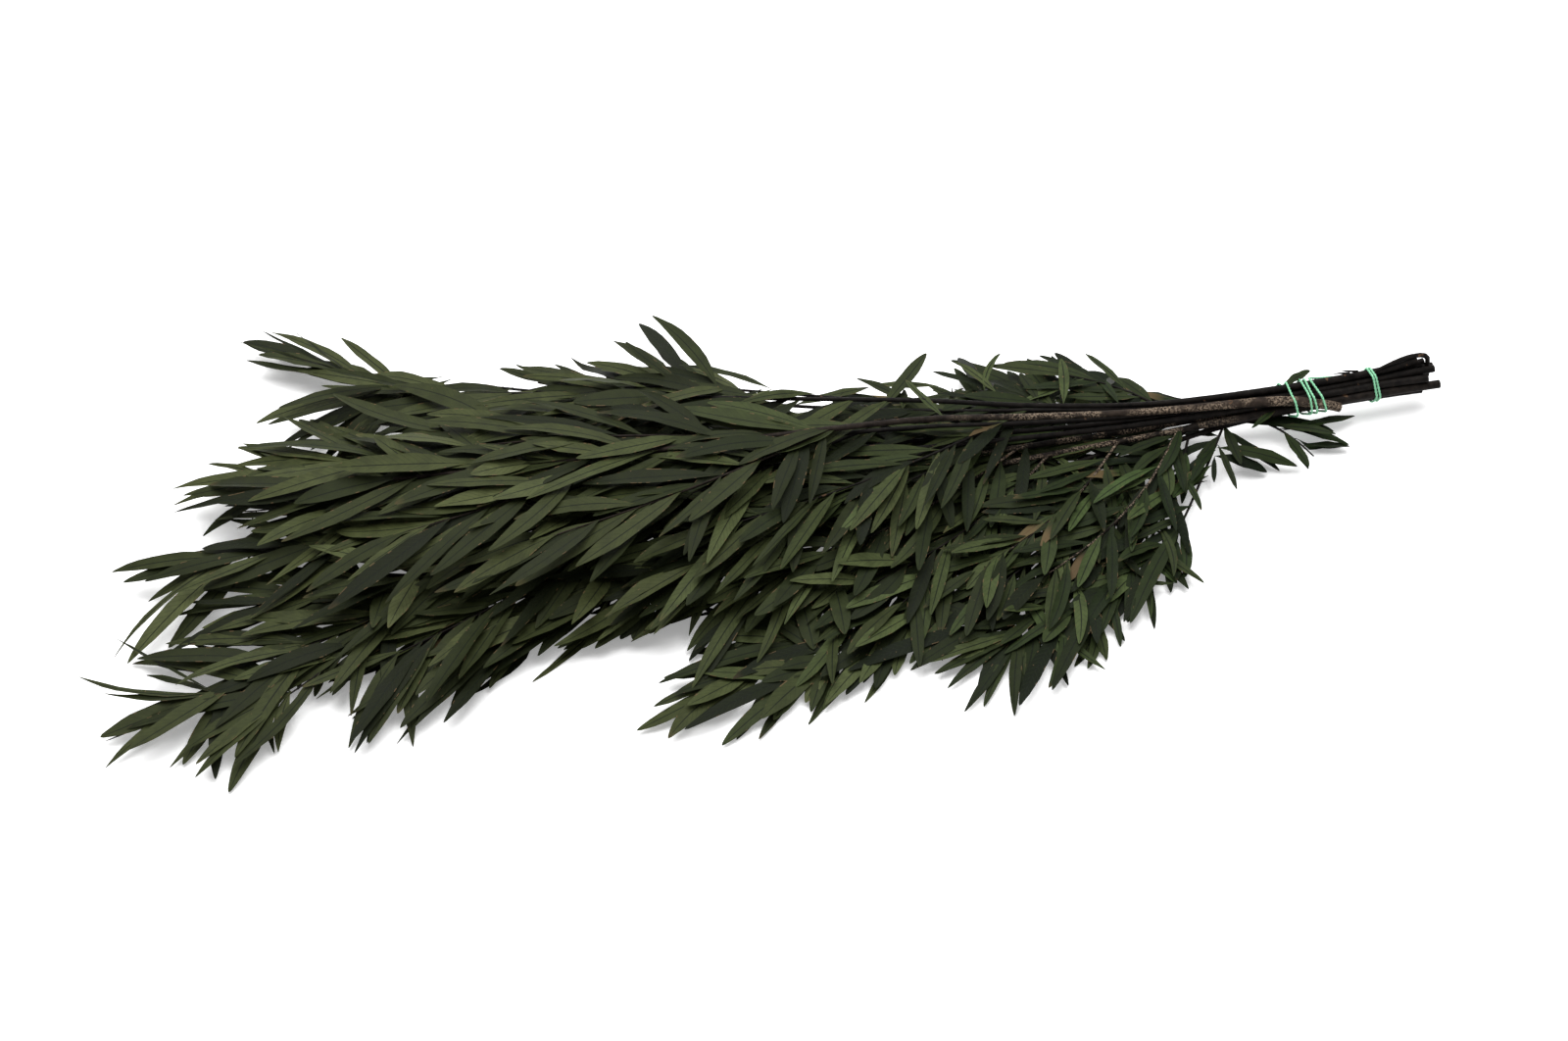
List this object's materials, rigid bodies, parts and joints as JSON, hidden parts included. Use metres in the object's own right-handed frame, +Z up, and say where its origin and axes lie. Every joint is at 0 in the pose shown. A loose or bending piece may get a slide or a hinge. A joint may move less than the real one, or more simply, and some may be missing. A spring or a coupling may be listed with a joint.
{
  "type": "eucalyptus bunch",
  "caption": "Tied bunch of preserved willow-leaved eucalyptus lying flat: dark stems held by green twine near their cut ends, with long narrow leaves fanning out to the tips.",
  "frame": {"origin": "middle of the bunch's footprint, on the surface that it lies on", "axes": "+X along the bunch, from the leaf tips towards the cut ends; +Y to the back of the picture; +Z up"},
  "size_m": [0.7904, 0.3712, 0.0651],
  "materials": {
    "leaves": "dull dark olive-green leaf, a little waxy",
    "bark": "dark brown bark, nearly black, with paler grey-tan patches",
    "twine": "mint-green twisted twine"
  },
  "bodies": {
    "root": {"branch_low_back": "leaves", "branch_low_middle": "leaves", "branch_low_front": "leaves", "branch_under_front": "leaves", "branch_far_front": "leaves", "branch_under_middle": "leaves", "branch_under_back": "leaves", "branch_short_back": "leaves", "branch_far_left": "leaves", "branch_long_middle": "leaves", "branch_long_back": "leaves", "branch_top": "leaves", "twine": "twine"}
  },
  "joints": []
}
